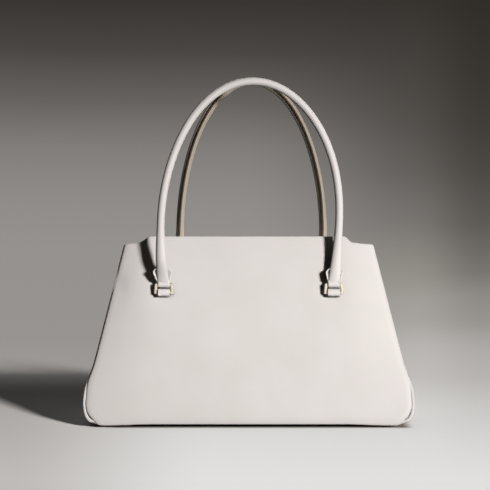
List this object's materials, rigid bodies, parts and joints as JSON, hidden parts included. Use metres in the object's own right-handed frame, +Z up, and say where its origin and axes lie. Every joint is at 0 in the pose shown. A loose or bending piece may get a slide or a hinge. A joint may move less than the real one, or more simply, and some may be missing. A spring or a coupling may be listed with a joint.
{
  "type": "tote bag",
  "caption": "Structured leather tote bag with piped trapezoid panels, folded gussets, an open lined mouth, metal feet and tall rolled handles that swing on metal rings.",
  "frame": {"origin": "on the ground under the middle of the bag, level with the flat bottoms of the feet", "axes": "+Z up, +X to the right as the front is seen, -Y towards the viewer of the front panel"},
  "size_m": [0.3798, 0.1272, 0.4144],
  "materials": {
    "calf_leather": "smooth off-white calf leather, soft satin",
    "light_gold_metal": "polished light-gold plating",
    "lining_cloth": "woven beige cloth",
    "fibreboard": "matt pressed fibreboard",
    "cotton_rope": "matt cotton rope"
  },
  "bodies": {
    "bag": {"front_panel": "calf_leather", "back_panel": "calf_leather", "front_piping": "calf_leather", "back_piping": "calf_leather", "left_gusset": "calf_leather", "right_gusset": "calf_leather", "base_panel": "calf_leather", "base_board": "fibreboard", "front_stiffener": "fibreboard", "back_stiffener": "fibreboard", "lining": "lining_cloth", "mouth_facing": "calf_leather", "front_left_foot": "light_gold_metal", "front_right_foot": "light_gold_metal", "back_left_foot": "light_gold_metal", "back_right_foot": "light_gold_metal", "front_left_foot_washer": "light_gold_metal", "front_right_foot_washer": "light_gold_metal", "back_left_foot_washer": "light_gold_metal", "back_right_foot_washer": "light_gold_metal", "snap_socket": "light_gold_metal", "snap_stud": "light_gold_metal", "front_left_chape": "calf_leather", "front_right_chape": "calf_leather", "back_left_chape": "calf_leather", "back_right_chape": "calf_leather"},
    "front_rings": {"front_left_ring": "light_gold_metal", "front_right_ring": "light_gold_metal"},
    "back_rings": {"back_left_ring": "light_gold_metal", "back_right_ring": "light_gold_metal"},
    "front_handle": {"front_handle_cover": "calf_leather", "front_handle_core": "cotton_rope", "front_left_handle_tab": "calf_leather", "front_right_handle_tab": "calf_leather"},
    "back_handle": {"back_handle_cover": "calf_leather", "back_handle_core": "cotton_rope", "back_left_handle_tab": "calf_leather", "back_right_handle_tab": "calf_leather"}
  },
  "joints": [
    {"name": "front_ring_swing", "type": "hinge", "parent": "bag", "child": "front_rings", "pos_m": [0, -0.04205, 0.15507], "axis": [1, 0, 0], "range_deg": [0, 60]},
    {"name": "front_handle_swing", "type": "hinge", "parent": "front_rings", "child": "front_handle", "pos_m": [0, -0.04205, 0.16465], "axis": [1, 0, 0], "range_deg": [-8, 65]},
    {"name": "back_ring_swing", "type": "hinge", "parent": "bag", "child": "back_rings", "pos_m": [0, 0.04205, 0.15507], "axis": [-1, 0, 0], "range_deg": [0, 60]},
    {"name": "back_handle_swing", "type": "hinge", "parent": "back_rings", "child": "back_handle", "pos_m": [0, 0.04205, 0.16465], "axis": [-1, 0, 0], "range_deg": [-8, 65]}
  ]
}
